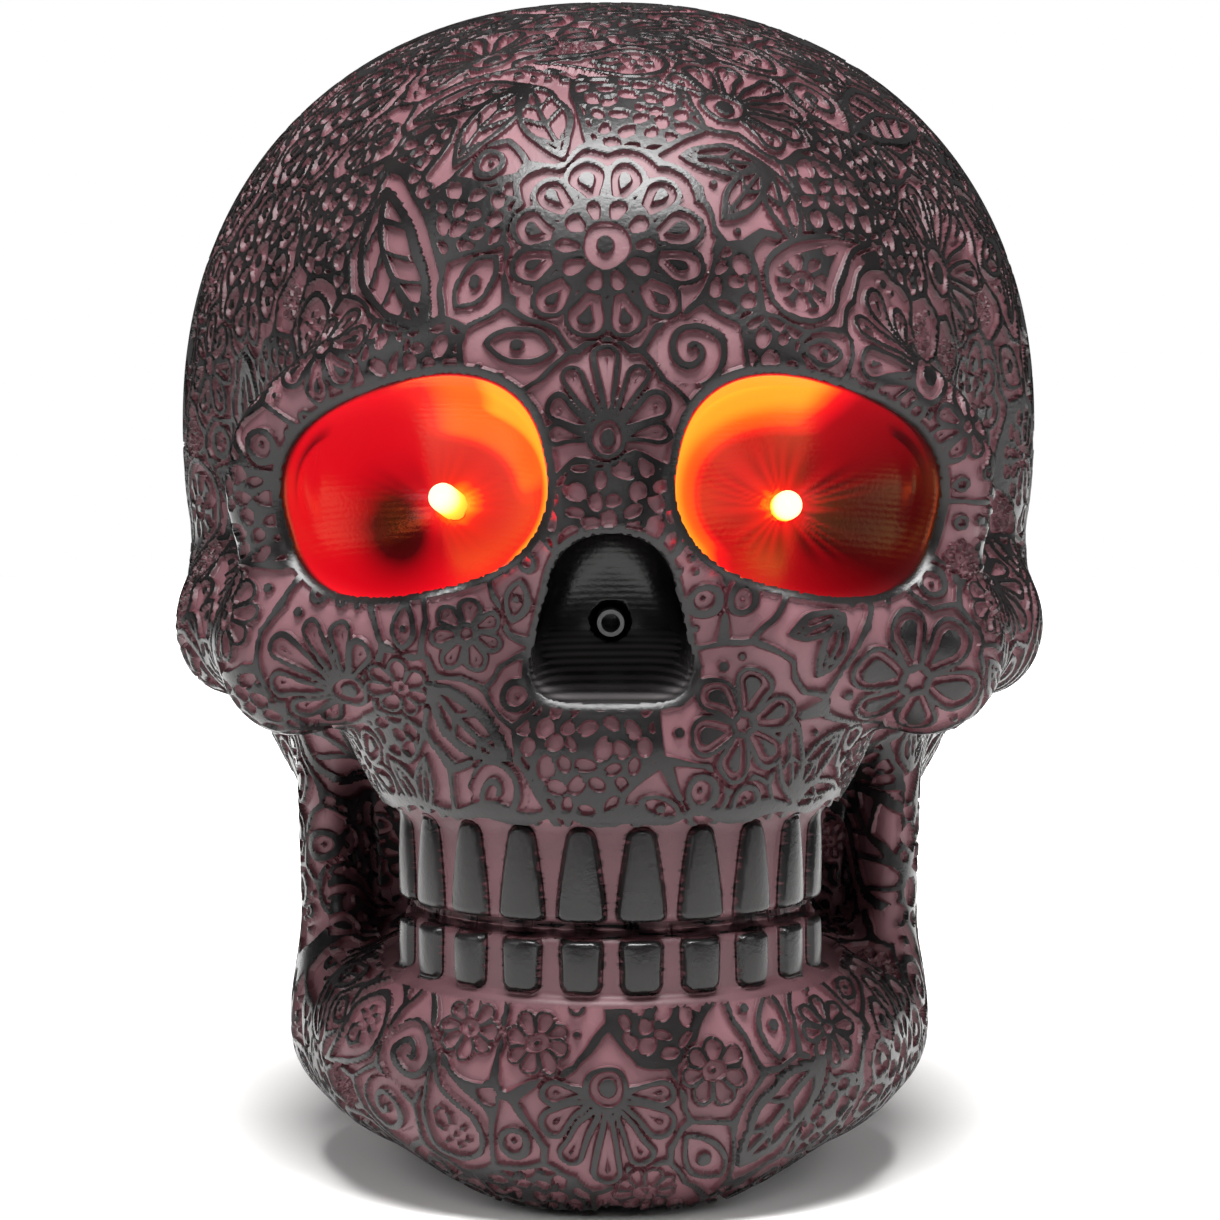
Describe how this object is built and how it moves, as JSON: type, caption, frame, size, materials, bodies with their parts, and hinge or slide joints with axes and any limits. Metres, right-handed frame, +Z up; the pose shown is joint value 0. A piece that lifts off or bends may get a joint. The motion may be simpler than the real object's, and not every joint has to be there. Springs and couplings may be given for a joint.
{
  "type": "halloween skull decoration",
  "caption": "Hollow ornamented human skull that stands on its flat base, with a red lamp lit deep in each eye socket and a light sensor in the nose.",
  "frame": {"origin": "on the floor under the middle of the skull's outline", "axes": "+Z up, the face looks along -Y, +X is the viewer's right when facing the skull"},
  "size_m": [0.1514, 0.1754, 0.2013],
  "materials": {
    "resin": "cast resin, mauve undercoat in the recesses, raised ornament wiped with satin black",
    "foam": "stick-on foam, matt",
    "black_plastic": "moulded black plastic, fine grain",
    "steel": "zinc plated",
    "nickel": "nickel plated",
    "cell_wrap": "plain shrink wrap",
    "board_green": "solder mask",
    "epoxy": "dispensed epoxy",
    "red_lens": "clear red epoxy, lit",
    "red_pvc": "wire insulation",
    "black_pvc": "wire insulation"
  },
  "bodies": {
    "skull": {"skull_shell": "resin", "foot_pad_1": "foam", "foot_pad_2": "foam", "foot_pad_3": "foam", "foot_pad_4": "foam", "base_plate": "black_plastic", "base_screw_1": "steel", "base_screw_2": "steel", "base_screw_3": "steel", "base_screw_4": "steel", "battery_1": "cell_wrap", "battery_2": "cell_wrap", "battery_3": "cell_wrap", "contact_spring_1": "nickel", "contact_spring_2": "nickel", "contact_spring_3": "nickel", "contact_link_front": "nickel", "contact_end_front": "nickel", "contact_end_rear": "nickel", "contact_link_rear": "nickel", "switch_body": "black_plastic", "circuit_board": "board_green", "control_chip": "epoxy", "board_screw_1": "steel", "board_screw_2": "steel", "eye_led_left": "red_lens", "eye_led_right": "red_lens", "eye_lead_left": "red_pvc", "eye_lead_right": "red_pvc", "sensor_tube": "black_plastic", "light_sensor": "epoxy", "sensor_lead": "black_pvc", "battery_lead_positive": "red_pvc", "battery_lead_negative": "black_pvc", "switch_lead": "red_pvc"},
    "door": {"battery_door": "black_plastic", "door_screw": "steel"},
    "slider": {"switch_slider": "black_plastic"}
  },
  "joints": [
    {"name": "door_hinge", "type": "hinge", "parent": "skull", "child": "door", "pos_m": [0, -0.03491, 0.0025], "axis": [-1, 0, 0], "range_deg": [0, 80]},
    {"name": "switch_slide", "type": "slide", "parent": "skull", "child": "slider", "axis": [1, 0, 0], "range_m": [-0.004, 0]}
  ]
}
